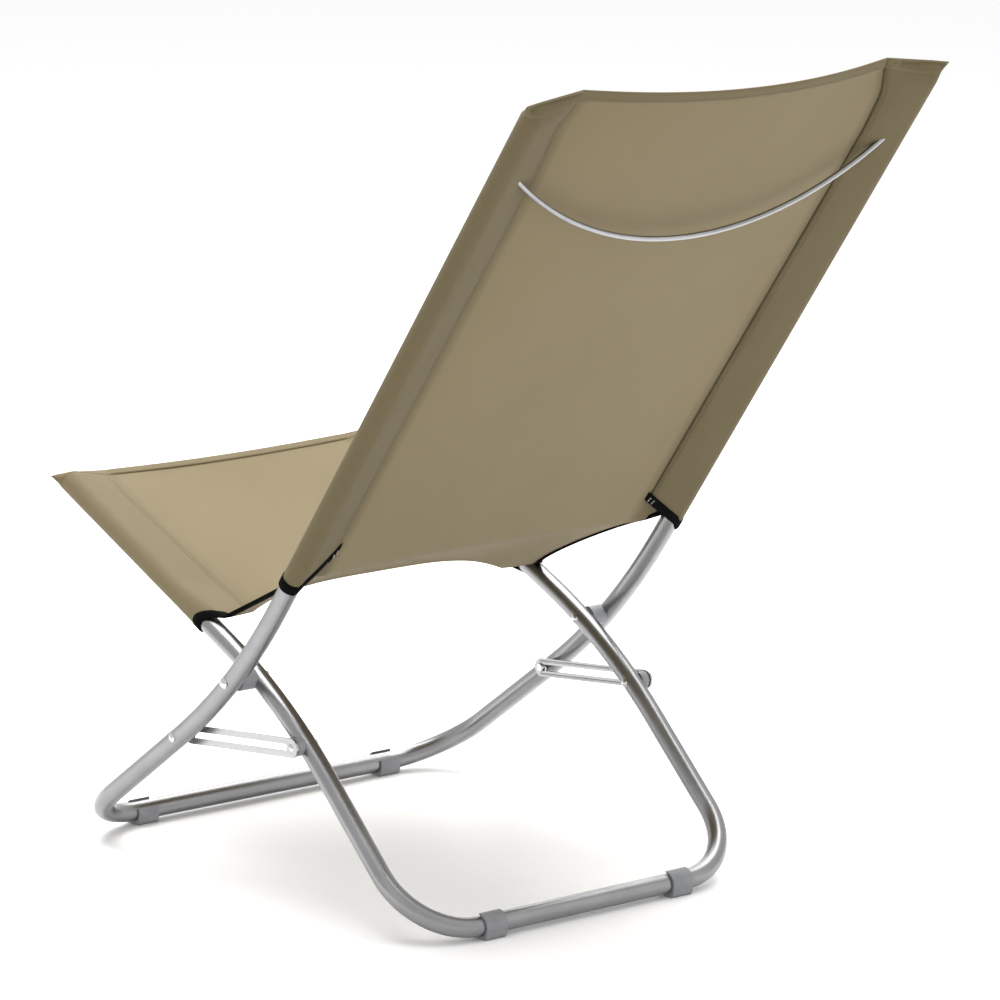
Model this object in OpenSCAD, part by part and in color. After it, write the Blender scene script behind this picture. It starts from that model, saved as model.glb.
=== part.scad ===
// Folding camp chair: a back frame and a seat frame, each one bent tube, cross at a riveted pivot.
// Slotted links tie the legs together and stop the chair as it opens. A fabric sling spans both frames.
// +Z is up, the sitter faces -Y, and X runs across. The origin is on the floor, at the box's centre.

/* [Tubes] */
// Outer diameter of both frame tubes
tube_d = 19; // [16:1:22]
// Wall thickness of the tubes
tube_wall = 1.2; // [0.8:0.1:2]

/* [Back frame] */
// Distance between the centres of the back frame's two legs
back_w = 454; // [430:1:480]
// Rise of the front legs from the floor
back_leg_angle = 35.5; // [34:0.5:37]
// Slope of the backrest from the floor
back_rest_angle = 53.5; // [52:0.5:55]
// Radius of the long bend through the pivot
back_bend_r = 730; // [680:10:800]
// Part of the bend that lies below the pivot
back_turn_to_pivot = 8.5; // [7:0.5:10]
// Straight leg below the bend
back_leg_l = 220; // [200:5:240]
// Straight backrest tube above the bend
back_rest_l = 612; // [560:5:660]
// Radius of the two floor corners
back_corner_r = 75; // [60:1:90]

/* [Seat frame] */
// Distance between the centres of the seat frame's two legs
seat_w = 392; // [386:1:396]
// Rise of the rear legs from the floor
seat_leg_angle = 41.5; // [40:0.5:43]
// Slope of the seat tubes from the floor
seat_rail_angle = 22.5; // [21:0.5:24]
// Radius of the long bend through the pivot
seat_bend_r = 575; // [540:5:620]
// Part of the bend that lies below the pivot
seat_turn_to_pivot = 13.5; // [12:0.5:15]
// Straight seat tube in front of the bend
seat_rail_l = 287; // [270:5:320]
// Radius of the two floor corners
seat_corner_r = 72; // [60:1:85]

/* [Sling] */
// Width of a back sleeve from its outer edge to its seam
back_sleeve_w = 50; // [44:1:60]
// Width of a seat sleeve from its outer edge to its seam
seat_sleeve_w = 55; // [44:1:60]
// Length of a back sleeve along its tube
back_sleeve_l = 608; // [560:1:612]
// Length of a seat sleeve along its tube
seat_sleeve_l = 270; // [240:1:280]
// Depth of the backrest's hollow
back_bow = 14; // [4:1:16]
// Depth of the seat's hollow
seat_bow = 8; // [2:1:16]
// Thickness of the sling panels
panel_t = 2; // [1.5:0.5:3]

/* [Links] */
// Distance from the main pivot to the link's rivet on the seat frame
link_rivet_reach = 92; // [88:0.5:96]
// Distance from the main pivot to the slot rivet on the back frame
slot_rivet_reach = 111; // [108:0.5:114]
// Width of a link
link_w = 18.5; // [17:0.5:20]
// Thickness of a link
link_t = 2.4; // [2:0.2:3]
// Width of the slot in a link
slot_w = 6.6; // [6:0.1:7]

/* [Feet and rods] */
// Distance from the centre to each front foot
front_foot_x = 150; // [100:1:150]
// Distance from the centre to each rear foot
rear_foot_x = 112; // [80:1:118]
// Length of a foot along its tube
foot_l = 24; // [18:1:28]
// Height of the tubes' centre above the floor
foot_h = 12.5; // [12:0.1:14]
// Diameter of the spreader rods
rod_d = 5; // [4:0.5:6]
// Distance of the spreader rods from the open tube ends
rod_setback = 57; // [50:1:80]
// Depth of the bow in the spreader rods
rod_bow = 91.5; // [70:0.5:100]

/* [Hidden] */
$fn = 96;

tube_r = tube_d / 2;
bore_r = tube_r - tube_wall;
back_x = back_w / 2;
seat_x = seat_w / 2;
slack = 0.05;
fabric_gap = 0.3;

// Straights and arcs meet at a hairline that a core inside the wall bridges. The bore's arcs are
// a little narrower than its straights and lap into them.
hairline = 0.01;
wall_skin = 0.35;
core_span = 1;
bore_lap = 0.5;
bore_step = 0.2;

// Headings are angles in the YZ plane, from +Y towards +Z.
seat_leg_heading = 180 - seat_leg_angle;
seat_rail_heading = 180 - seat_rail_angle;
back_turn = back_rest_angle - back_leg_angle;
seat_turn = seat_leg_angle - seat_rail_angle;
back_pivot_heading = back_leg_angle + back_turn_to_pivot;
seat_pivot_heading = seat_leg_heading + seat_turn_to_pivot;

function ahead(a) = [0, cos(a), sin(a)];
function aside(a) = [0, -sin(a), cos(a)];
// Step from the start of a bend of radius r, heading a, to where it has turned by t
function bend_step(a, r, t) = r * (aside(a) - aside(a + t));

// Side profiles, measured from the pivot
back_foot_rel = -bend_step(back_leg_angle, back_bend_r, back_turn_to_pivot)
    - back_leg_l * ahead(back_leg_angle);
pivot_h = foot_h - back_foot_rel[2];
seat_bend_rel = -bend_step(seat_leg_heading, seat_bend_r, seat_turn_to_pivot);
seat_leg_l = (seat_bend_rel[2] + pivot_h - foot_h) / sin(seat_leg_heading);
seat_foot_rel = seat_bend_rel - seat_leg_l * ahead(seat_leg_heading);
back_top_rel = back_foot_rel + back_leg_l * ahead(back_leg_angle)
    + bend_step(back_leg_angle, back_bend_r, back_turn) + back_rest_l * ahead(back_rest_angle);
seat_front_rel = seat_bend_rel + bend_step(seat_leg_heading, seat_bend_r, seat_turn)
    + seat_rail_l * ahead(seat_rail_heading);

// The sling's wrap round a tube, and how far it covers a tube's open end
wrap_t = 0.7;
wrap_r = tube_r + fabric_gap + wrap_t;
end_cover = 17;
front_edge_rel = seat_front_rel + end_cover * ahead(seat_rail_heading);
rear_edge_rel = back_top_rel + end_cover * ahead(back_rest_angle);
box_centre_rel = (front_edge_rel[1] - wrap_r * sin(seat_rail_angle)
    + rear_edge_rel[1] + wrap_r * sin(back_rest_angle)) / 2;
pivot = [0, -box_centre_rel, pivot_h];

back_foot = pivot + back_foot_rel;
seat_foot = pivot + seat_foot_rel;
back_top = pivot + back_top_rel;
seat_front = pivot + seat_front_rel;

// Points on the two bends at a straight-line distance from the pivot, below it
function chord_turn(d, r) = 2 * asin(d / (2 * r));
slot_rivet_turn = chord_turn(slot_rivet_reach, back_bend_r);
link_rivet_turn = chord_turn(link_rivet_reach, seat_bend_r);
slot_point = pivot - bend_step(back_pivot_heading - slot_rivet_turn, back_bend_r, slot_rivet_turn);
link_point = pivot - bend_step(seat_pivot_heading - link_rivet_turn, seat_bend_r, link_rivet_turn);
link_span = norm(slot_point - link_point);
link_heading = atan2(slot_point[2] - link_point[2], slot_point[1] - link_point[1]);

// Places across the chair, from the inner tube's face to the outer tube's face
seat_outer_face = seat_x + tube_r;
back_inner_face = back_x - tube_r;
saddle_split = (seat_outer_face + back_inner_face) / 2;
saddle_lip = 2.5;
saddle_r = 10;
link_in = seat_outer_face + 7;
link_out = link_in + link_t;

pivot_rivet_r = 3;
small_rivet_r = 2.5;
head_t = 2;
link_spacer_r = 8.5;
link_slot_start = 10;
bead_r = 1.1;
bead_y = 6.7;
button_head_r = 4.7;

sleeve_binding_l = 8;
back_seam_x = back_x + wrap_r - back_sleeve_w;
seat_seam_x = seat_x + wrap_r - seat_sleeve_w;
back_sleeve_end = back_top - (back_sleeve_l - end_cover) * ahead(back_rest_angle);
seat_sleeve_end = seat_front - (seat_sleeve_l - end_cover) * ahead(seat_rail_heading);
panel_steps = 24;
bend_half_w = seat_x - tube_r - 3;

rod_tilt = 16.7;
front_mouth = 72;
rear_mouth = 142;

steel = [0.70, 0.71, 0.73];
bright = [0.82, 0.82, 0.84];
plastic = [0.42, 0.43, 0.45];
fabric = [0.56, 0.52, 0.41];
dark_fabric = [0.46, 0.42, 0.31];
black = [0.06, 0.06, 0.06];

// A placed frame whose Z runs along a heading and whose Y points to its right-hand side
module on_heading(p, a) {
    translate(p)
    rotate([a - 90, 0, 0])
    children();
}

// An arc of radius r in the XY plane from +X; reach lengthens it at both ends, or shortens it
module arc(r, t, section_r, reach) {
    reach_angle = reach / r * 180 / PI;
    rotate([0, 0, -reach_angle])
    rotate_extrude(angle = t + 2 * reach_angle, $fn = r > 200 ? 1440 : 144)
    translate([r, 0])
    circle(section_r, $fn = 96);
}

// A bend that starts at p on heading a and turns by t
module bend(p, a, r, t, section_r, reach = 0) {
    translate(p + r * aside(a))
    rotate([a - 90, 0, 0])
    rotate([90, 0, 90])
    arc(r, t, section_r, reach);
}

// Short core that joins two lengths of tube across the hairline between them
module core(h) {
    if (h > 0)
        translate([0, 0, -h / 2])
        cylinder(r = tube_r - wall_skin, h = h);
}

// The corner bend between a floor bar and the leg on the +X side
module corner(foot, x, a, corner_r, arc_r, reach) {
    translate(foot + [x - corner_r, 0, 0] + corner_r * ahead(a))
    rotate([a + 180, 0, 0])
    arc(corner_r, 90, arc_r, reach);
}

// One leg: straight from its floor corner, through the long bend, to its open end
module leg(foot, x, a, corner_r, straight_l, r, t, end_l, section_r, arc_r, reach, core_l) {
    side = [x, 0, 0];
    bend_start = foot + straight_l * ahead(a);
    bend_end = bend_start + bend_step(a, r, t);
    on_heading(foot + side + corner_r * ahead(a), a) {
        cylinder(r = section_r, h = straight_l - corner_r);
        core(core_l);
    }
    bend(bend_start + side, a, r, t, arc_r, reach);
    on_heading(bend_start + side, a)
    core(core_l);
    on_heading(bend_end + side, a + t) {
        cylinder(r = section_r, h = end_l);
        core(core_l);
    }
    corner(foot, x, a, corner_r, arc_r, reach);
    translate(foot + side - [corner_r, 0, 0])
    rotate([0, 90, 0])
    core(core_l);
}

// A whole bent frame: floor bar, two corners and two legs
module frame_run(foot, x, a, corner_r, straight_l, r, t, end_l, section_r, arc_r, reach, core_l) {
    for (side = [0, 1])
        mirror([side, 0, 0])
        leg(foot, x, a, corner_r, straight_l, r, t, end_l, section_r, arc_r, reach, core_l);
    translate(foot - [x - corner_r, 0, 0])
    rotate([a, 0, 0])
    rotate([0, 90, 0])
    cylinder(r = section_r, h = 2 * (x - corner_r));
}

module back_run(section_r, arc_r, reach, core_l, extra) {
    frame_run(back_foot, back_x, back_leg_angle, back_corner_r, back_leg_l, back_bend_r,
        back_turn, back_rest_l + extra, section_r, arc_r, reach, core_l);
}

module seat_run(section_r, arc_r, reach, core_l, extra) {
    frame_run(seat_foot, seat_x, seat_leg_heading, seat_corner_r, seat_leg_l, seat_bend_r,
        seat_turn, seat_rail_l + extra, section_r, arc_r, reach, core_l);
}

// A cylinder along X from x1 to x2 through a point of the side profile
module cross_pin(p, r, x1, x2) {
    translate(p + [x1, 0, 0])
    rotate([0, 90, 0])
    cylinder(r = r, h = x2 - x1);
}

// A domed rivet head that stands out of x, towards +X or, with side = -1, towards -X
module rivet_head(p, x, r, h, side) {
    dome_r = (r * r + h * h) / (2 * h);
    translate(p + [x, 0, 0])
    rotate([0, side * 90, 0])
    intersection() {
        translate([0, 0, h - dome_r])
        sphere(dome_r);
        cylinder(r = r, h = h);
    }
}

// Bowed rod between the two tubes of a frame, in a placed frame whose Z runs along the tubes
module rod(x, tilt, section_r) {
    rod_r = (x * x + rod_bow * rod_bow) / (2 * rod_bow);
    half_angle = 2 * atan(rod_bow / x);
    rotate([tilt, 0, 0])
    translate([0, 0, rod_r - rod_bow])
    rotate([0, 90 + half_angle, 0])
    rotate([90, 0, 0])
    rotate_extrude(angle = 2 * half_angle, $fn = 720)
    translate([rod_r, 0])
    circle(section_r, $fn = 48);
}

module back_rod(section_r) {
    on_heading(back_top - rod_setback * ahead(back_rest_angle), back_rest_angle)
    rod(back_x, rod_tilt, section_r);
}

module seat_rod(section_r) {
    on_heading(seat_front - rod_setback * ahead(seat_rail_heading), seat_rail_heading)
    rod(seat_x, -rod_tilt, section_r);
}

// Section of a sleeve on the +X side: fabric round the tube that closes to its seam
module sleeve_section(w, grow) {
    seam = w - wrap_r;
    difference() {
        union() {
            circle(wrap_r + grow);
            polygon([[0, wrap_r + grow], [-seam, panel_t / 2 + grow],
                [-seam, -panel_t / 2 - grow], [0, -wrap_r - grow]]);
        }
        circle(tube_r + fabric_gap);
    }
}

module sleeve(p, a, x, w, from, to, grow) {
    on_heading(p + from * ahead(a) + [x, 0, 0], a)
    linear_extrude(height = to - from)
    sleeve_section(w, grow);
}

// A bowed panel between two seams; bow is its depth towards +Y of the placed frame
module panel(p, a, half_w, l, bow) {
    function hollow(i) = bow * (1 - pow(2 * i / panel_steps - 1, 2));
    near = [for (i = [0 : panel_steps])
        [half_w * (2 * i / panel_steps - 1), hollow(i) - panel_t / 2]];
    far = [for (i = [panel_steps : -1 : 0])
        [half_w * (2 * i / panel_steps - 1), hollow(i) + panel_t / 2]];
    on_heading(p, a)
    linear_extrude(height = l)
    polygon(concat(near, far));
}

module back_tube() {
    color(steel)
    difference() {
        back_run(tube_r, tube_r, -hairline, core_span, 0);
        back_run(bore_r, bore_r - bore_step, bore_lap, 0, 1);
        cross_pin(pivot, pivot_rivet_r + slack, -back_x - 2 * tube_r, back_x + 2 * tube_r);
        cross_pin(slot_point, small_rivet_r + slack, -back_x - 2 * tube_r, back_x + 2 * tube_r);
        back_rod(rod_d / 2 + slack);
    }
}

module seat_tube() {
    color(steel)
    difference() {
        seat_run(tube_r, tube_r, -hairline, core_span, 0);
        seat_run(bore_r, bore_r - bore_step, bore_lap, 0, 1);
        cross_pin(pivot, pivot_rivet_r + slack, -seat_x - 2 * tube_r, seat_x + 2 * tube_r);
        cross_pin(link_point, small_rivet_r + slack, -seat_x - 2 * tube_r, seat_x + 2 * tube_r);
        seat_rod(rod_d / 2 + slack);
    }
}

// Plug that closes a tube's open end
module tube_cap(p, a, x) {
    plug_l = 14;
    rim_t = 2;
    on_heading(p + [x, 0, 0], a) {
        translate([0, 0, -plug_l])
        cylinder(r = bore_r - slack, h = plug_l);
        cylinder(r1 = tube_r, r2 = tube_r - 1, h = rim_t);
    }
}

module back_tube_caps() {
    color(plastic)
    for (x = [-back_x, back_x]) tube_cap(back_top, back_rest_angle, x);
}

module seat_tube_caps() {
    color(plastic)
    for (x = [-seat_x, seat_x]) tube_cap(seat_front, seat_rail_heading, x);
}

module back_panel() {
    color(fabric)
    panel(back_sleeve_end, back_rest_angle, back_seam_x - fabric_gap, back_sleeve_l, back_bow);
}

module seat_panel() {
    color(fabric)
    panel(seat_sleeve_end, seat_rail_heading, seat_seam_x - fabric_gap, seat_sleeve_l, -seat_bow);
}

module back_sleeve(side) {
    color(dark_fabric)
    difference() {
        mirror([side < 0 ? 1 : 0, 0, 0])
        sleeve(back_sleeve_end, back_rest_angle, back_x, back_sleeve_w,
            sleeve_binding_l + slack, back_sleeve_l, 0);
        back_rod(rod_d / 2 + fabric_gap);
    }
}

module seat_sleeve(side) {
    color(dark_fabric)
    difference() {
        mirror([side < 0 ? 1 : 0, 0, 0])
        sleeve(seat_sleeve_end, seat_rail_heading, seat_x, seat_sleeve_w,
            sleeve_binding_l + slack, seat_sleeve_l, 0);
        seat_rod(rod_d / 2 + fabric_gap);
    }
}

// Bound lower ends of the sleeves
module sleeve_bindings(p, a, x, w) {
    for (side = [0, 1])
        mirror([side, 0, 0])
        sleeve(p, a, x, w, 0, sleeve_binding_l, 0.5);
}

module back_bindings() {
    color(black)
    sleeve_bindings(back_sleeve_end, back_rest_angle, back_x, back_sleeve_w);
}

module seat_bindings() {
    color(black)
    sleeve_bindings(seat_sleeve_end, seat_rail_heading, seat_x, seat_sleeve_w);
}

module back_spreader() {
    color(bright)
    back_rod(rod_d / 2);
}

module seat_spreader() {
    color(bright)
    seat_rod(rod_d / 2);
}

// The sling where it turns from the seat to the backrest
module sling_bend() {
    a = seat_sleeve_end - (fabric_gap + panel_t) * ahead(seat_rail_heading);
    b = back_sleeve_end - (fabric_gap + panel_t) * ahead(back_rest_angle);
    turn = (a + b) / 2 - 6 * aside(0);
    steps = 12;
    function mid(t) = a * (1 - t) * (1 - t) + turn * 2 * t * (1 - t) + b * t * t;
    lower = [for (i = [0 : steps]) mid(i / steps) - panel_t / 2 * aside(0)];
    upper = [for (i = [steps : -1 : 0]) mid(i / steps) + panel_t / 2 * aside(0)];
    outline = [for (q = concat(lower, upper)) [q[1], q[2]]];
    color(fabric)
    translate([-bend_half_w, 0, 0])
    rotate([90, 0, 90])
    linear_extrude(height = 2 * bend_half_w)
    polygon(outline);
}

// Clip-on foot round a floor bar, its mouth open at a heading from +Y towards +Z
module foot(x, y, mouth) {
    clip_r = 12;
    pad_half = 8;
    mouth_half = 8.3;
    color(plastic)
    translate([x - foot_l / 2, y, foot_h])
    rotate([90, 0, 90])
    difference() {
        linear_extrude(height = foot_l)
        difference() {
            union() {
                circle(clip_r);
                polygon([[-clip_r, 0], [-clip_r + 1.5, -foot_h + 3], [-pad_half, -foot_h],
                    [pad_half, -foot_h], [clip_r - 1.5, -foot_h + 3], [clip_r, 0]]);
            }
            circle(tube_r + slack);
        }
        rotate([0, 0, mouth])
        translate([0, -mouth_half, -1])
        cube([2 * clip_r, 2 * mouth_half, foot_l + 2]);
    }
}

// A front foot reaches a little way onto its bar's corner bend
module front_foot(side) {
    difference() {
        foot(side * front_foot_x, back_foot[1], front_mouth);
        mirror([side < 0 ? 1 : 0, 0, 0])
        corner(back_foot, back_x, back_leg_angle, back_corner_r, tube_r + 2 * slack, 0);
    }
}

// Main pivot rivet through both tubes and both saddles
module pivot_rivet(side) {
    outer = back_x + tube_r + slack;
    inner = seat_x - tube_r - slack;
    color(bright)
    mirror([side < 0 ? 1 : 0, 0, 0]) {
        cross_pin(pivot, pivot_rivet_r, inner, outer);
        rivet_head(pivot, outer, 5.5, 2.6, 1);
        rivet_head(pivot, inner, 4.8, head_t, -1);
    }
}

// Saddles that sit on the two tubes at the pivot and turn on each other
module back_saddle(side) {
    color(plastic)
    mirror([side < 0 ? 1 : 0, 0, 0])
    difference() {
        cross_pin(pivot, saddle_r, saddle_split + slack, back_inner_face + saddle_lip);
        cross_pin(pivot, pivot_rivet_r + slack, saddle_split - 1, back_x);
        bend(back_foot + back_leg_l * ahead(back_leg_angle) + [back_x, 0, 0],
            back_leg_angle, back_bend_r, back_turn, tube_r + slack);
    }
}

module seat_saddle(side) {
    color(plastic)
    mirror([side < 0 ? 1 : 0, 0, 0])
    difference() {
        cross_pin(pivot, saddle_r, seat_outer_face - saddle_lip, saddle_split - slack);
        cross_pin(pivot, pivot_rivet_r + slack, seat_x, saddle_split + 1);
        bend(seat_foot + seat_leg_l * ahead(seat_leg_heading) + [seat_x, 0, 0],
            seat_leg_heading, seat_bend_r, seat_turn, tube_r + slack);
    }
}

// Rivet of the back frame that carries the button in the link's slot
module slot_rivet(side) {
    outer = back_x + tube_r + slack;
    color(bright)
    mirror([side < 0 ? 1 : 0, 0, 0]) {
        cross_pin(slot_point, small_rivet_r, back_inner_face, outer);
        rivet_head(slot_point, outer, 4.5, head_t, 1);
    }
}

// Rivet that hinges a link on the seat frame
module link_rivet(side) {
    inner = seat_x - tube_r - slack;
    outer = link_out + slack;
    color(bright)
    mirror([side < 0 ? 1 : 0, 0, 0]) {
        cross_pin(link_point, small_rivet_r, inner, outer);
        rivet_head(link_point, outer, 4, 1.6, 1);
        rivet_head(link_point, inner, 4.2, head_t, -1);
    }
}

// Spacer between the seat tube and a link
module link_spacer(side) {
    color(plastic)
    mirror([side < 0 ? 1 : 0, 0, 0])
    difference() {
        cross_pin(link_point, link_spacer_r, seat_outer_face - saddle_lip,
            link_in - bead_r - slack);
        cross_pin(link_point, small_rivet_r + slack, seat_x, link_out);
        bend(seat_foot + seat_leg_l * ahead(seat_leg_heading) + [seat_x, 0, 0],
            seat_leg_heading, seat_bend_r, seat_turn, tube_r + slack);
        on_heading(seat_foot + [seat_x, 0, 0], seat_leg_heading)
        cylinder(r = tube_r + slack, h = seat_leg_l);
    }
}

// A link lies in the gap between the tubes, from its hinge rivet to the slot rivet
module in_link(side) {
    mirror([side < 0 ? 1 : 0, 0, 0])
    translate(link_point + [link_in, 0, 0])
    rotate([link_heading, 0, 0])
    rotate([90, 0, 90])
    children();
}

module stadium(from, to, r, z, h) {
    translate([from, 0, z])
    cylinder(r = r, h = h);
    translate([to, 0, z])
    cylinder(r = r, h = h);
    translate([from, -r, z])
    cube([to - from, 2 * r, h]);
}

module link(side) {
    slot_end_r = 5;
    color(bright)
    in_link(side)
    difference() {
        union() {
            stadium(0, link_span, link_w / 2, 0, link_t);
            for (y = [-bead_y, bead_y])
                translate([0, y, 0])
                rotate([0, 90, 0])
                cylinder(r = bead_r, h = link_span, $fn = 48);
        }
        stadium(link_slot_start, link_span, slot_w / 2, -1, link_t + 2);
        translate([0, 0, -1 - bead_r])
        cylinder(r = small_rivet_r + slack, h = link_t + 4);
        translate([link_span, 0, -1])
        cylinder(r = slot_end_r, h = 1.6);
    }
}

// Button that runs in a link's slot
module slot_button(side) {
    flange_t = 1.2;
    color(bright)
    in_link(side)
    translate([link_span, 0, 0]) {
        translate([0, 0, -0.6])
        cylinder(r = slot_w / 2 - slack, h = link_t + 0.7);
        translate([0, 0, link_t + slack])
        cylinder(r = button_head_r, h = flange_t);
        translate([0, 0, -1.8])
        cylinder(r1 = button_head_r - 1, r2 = button_head_r, h = 1.2);
    }
}

back_tube();
back_tube_caps();
back_panel();
back_sleeve(1);  // back_sleeve_left
back_sleeve(-1);  // back_sleeve_right
back_bindings();
back_spreader();
front_foot(1);  // front_foot_left
front_foot(-1);  // front_foot_right
pivot_rivet(1);  // pivot_rivet_left
pivot_rivet(-1);  // pivot_rivet_right
back_saddle(1);  // back_saddle_left
back_saddle(-1);  // back_saddle_right
slot_rivet(1);  // slot_rivet_left
slot_rivet(-1);  // slot_rivet_right
sling_bend();
seat_tube();
seat_tube_caps();
seat_panel();
seat_sleeve(1);  // seat_sleeve_left
seat_sleeve(-1);  // seat_sleeve_right
seat_bindings();
seat_spreader();
foot(rear_foot_x, seat_foot[1], rear_mouth);  // rear_foot_left
foot(-rear_foot_x, seat_foot[1], rear_mouth);  // rear_foot_right
seat_saddle(1);  // seat_saddle_left
seat_saddle(-1);  // seat_saddle_right
link_rivet(1);  // link_rivet_left
link_rivet(-1);  // link_rivet_right
link_spacer(1);  // link_spacer_left
link_spacer(-1);  // link_spacer_right
link(1);  // link_left
link(-1);  // link_right
slot_button(1);  // slot_button_left
slot_button(-1);  // slot_button_right
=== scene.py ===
import math

import bpy
import numpy as np
from mathutils import Matrix, Vector


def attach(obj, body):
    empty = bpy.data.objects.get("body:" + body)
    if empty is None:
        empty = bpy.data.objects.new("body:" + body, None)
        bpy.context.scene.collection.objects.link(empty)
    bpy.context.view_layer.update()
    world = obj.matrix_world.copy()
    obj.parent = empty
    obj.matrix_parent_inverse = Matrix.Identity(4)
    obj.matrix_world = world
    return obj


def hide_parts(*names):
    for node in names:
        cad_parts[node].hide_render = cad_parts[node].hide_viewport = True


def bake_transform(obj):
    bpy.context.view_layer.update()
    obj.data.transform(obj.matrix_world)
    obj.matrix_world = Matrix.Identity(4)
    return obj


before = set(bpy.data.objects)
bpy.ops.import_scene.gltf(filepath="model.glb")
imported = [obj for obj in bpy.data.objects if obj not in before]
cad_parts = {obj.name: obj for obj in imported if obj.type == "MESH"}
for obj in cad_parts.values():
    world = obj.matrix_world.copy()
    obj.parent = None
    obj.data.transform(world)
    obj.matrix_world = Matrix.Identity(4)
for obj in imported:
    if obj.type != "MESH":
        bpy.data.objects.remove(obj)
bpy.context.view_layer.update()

# A folding camp chair. Its tubes, rods, links, rivets and feet are CAD nodes that get materials here.
# Its sling is one sheet made here, and the hems, tape and stitches take their places from its rows.
# Lengths are in metres, and headings are angles in the YZ plane, from +Y towards +Z.


def direction(heading):
    """Unit (y, z) along a heading."""
    return np.array([math.cos(heading), math.sin(heading)])


def sitter_side(heading):
    """Unit (y, z) square to a heading, towards the sitter."""
    return np.array([-math.sin(heading), math.cos(heading)])


def unit(vectors):
    return vectors / np.linalg.norm(vectors, axis=-1, keepdims=True)


def ease(x):
    """Smooth step from 0 to 1."""
    x = np.clip(x, 0.0, 1.0)
    return x * x * (3 - 2 * x)


def lengths_along(points):
    """How far along a line of points each point is."""
    return np.concatenate([[0], np.cumsum(np.linalg.norm(np.diff(points, axis=0), axis=1))])


# ---------------------------------------------------------------- the frames that the sling hangs on
BACK_HEAD = math.radians(53.5)         # up along the backrest's tubes
SEAT_HEAD = math.radians(-22.5)        # back and down along the seat's tubes
CAP_RIM = 0.002                        # how far a cap stands out of its tube


def tube_end(caps, heading, outward):
    """A tube's distance from the chair's middle and its open end's (y, z), from the caps that close it."""
    points = np.array([v.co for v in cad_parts[caps].data.vertices], float)
    cap = points[points[:, 0] > 0]
    along = cap[:, 1:] @ direction(heading) * outward
    aside = cap[:, 1:] @ sitter_side(heading)
    end = ((along.max() - CAP_RIM) * outward * direction(heading)
           + (aside.max() + aside.min()) / 2 * sitter_side(heading))
    # to the micrometre: the last digits of the caps' points are only rounding
    return round((cap[:, 0].max() + cap[:, 0].min()) / 2, 6), end.round(6)


BACK_X, BACK_TOP = tube_end("back_tube_caps", BACK_HEAD, 1)
SEAT_X, SEAT_FRONT = tube_end("seat_tube_caps", SEAT_HEAD, -1)


# ---------------------------------------------------------------- materials
def new_material(name):
    m = bpy.data.materials.new(name)
    m.use_nodes = True
    m.node_tree.nodes.clear()
    out = m.node_tree.nodes.new("ShaderNodeOutputMaterial")
    shader = m.node_tree.nodes.new("ShaderNodeBsdfPrincipled")
    m.node_tree.links.new(shader.outputs[0], out.inputs["Surface"])
    return m, shader


class Graph:
    """Short calls for one material's nodes."""

    def __init__(self, material):
        self.tree = material.node_tree

    def add(self, kind, inputs=(), **settings):
        n = self.tree.nodes.new("ShaderNode" + kind)
        for k, v in settings.items():
            setattr(n, k, v)
        for k, v in dict(inputs).items():
            if isinstance(v, bpy.types.NodeSocket):
                self.tree.links.new(v, n.inputs[k])
            else:
                n.inputs[k].default_value = v
        return n

    def math(self, op, a, b=0.0):
        return self.add("Math", {0: a, 1: b}, operation=op).outputs[0]

    def weigh(self, a, weight_a, b, weight_b):
        """A weighted sum of two values."""
        return self.math("ADD", self.math("MULTIPLY", a, weight_a), self.math("MULTIPLY", b, weight_b))

    def noise(self, vector, scale, detail=2.0, rough=0.5):
        n = self.add("TexNoise", {"Vector": vector, "Scale": scale, "Detail": detail, "Roughness": rough})
        return n.outputs["Fac"]

    def stretched(self, vector, scale):
        return self.add("Mapping", {"Vector": vector, "Scale": scale}).outputs[0]

    def ramp(self, value, low, high, to_low, to_high):
        n = self.add("MapRange", {0: value, 1: low, 2: high, 3: to_low, 4: to_high})
        return n.outputs[0]

    def mix(self, fac, a, b):
        """Colour a where fac is 0 and b where it is 1."""
        return self.add("Mix", {"Factor": fac, 6: a, 7: b}, data_type="RGBA").outputs[2]

    def bump(self, height, distance, strength=1.0, normal=None):
        inputs = {"Height": height, "Distance": distance, "Strength": strength}
        if normal is not None:
            inputs["Normal"] = normal
        return self.add("Bump", inputs).outputs[0]

    def link(self, out, socket):
        self.tree.links.new(out, socket)


def rgb(r, g, b):
    return (r, g, b, 1.0)


def shade(colour, factor):
    return rgb(*[min(1.0, c * factor) for c in colour])


def weave_height(g, uv, yarn):
    """Height of a plain weave: yarns that cross over and under each other, one yarn wide."""
    middle, edge = 0.45, 0.55          # a yarn is edge high where it goes under, and middle higher over
    xyz = g.add("SeparateXYZ", {0: uv})
    a = g.math("DIVIDE", xyz.outputs[0], yarn)
    b = g.math("DIVIDE", xyz.outputs[1], yarn)
    round_a = g.math("SINE", g.math("MULTIPLY", g.math("FRACT", a), math.pi))
    round_b = g.math("SINE", g.math("MULTIPLY", g.math("FRACT", b), math.pi))
    cell = g.math("ADD", g.math("FLOOR", a), g.math("FLOOR", b))
    odd = g.math("MULTIPLY", g.math("FRACT", g.math("MULTIPLY", cell, 0.5)), 2.0)
    warp = g.math("MULTIPLY", round_a, g.math("ADD", g.math("MULTIPLY", round_b, middle), edge))
    weft = g.math("MULTIPLY", round_b, g.math("ADD", g.math("MULTIPLY", round_a, middle), edge))
    is_warp = g.math("GREATER_THAN", odd, 0.5)
    return g.weigh(warp, is_warp, weft, g.math("SUBTRACT", 1.0, is_warp))


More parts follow.
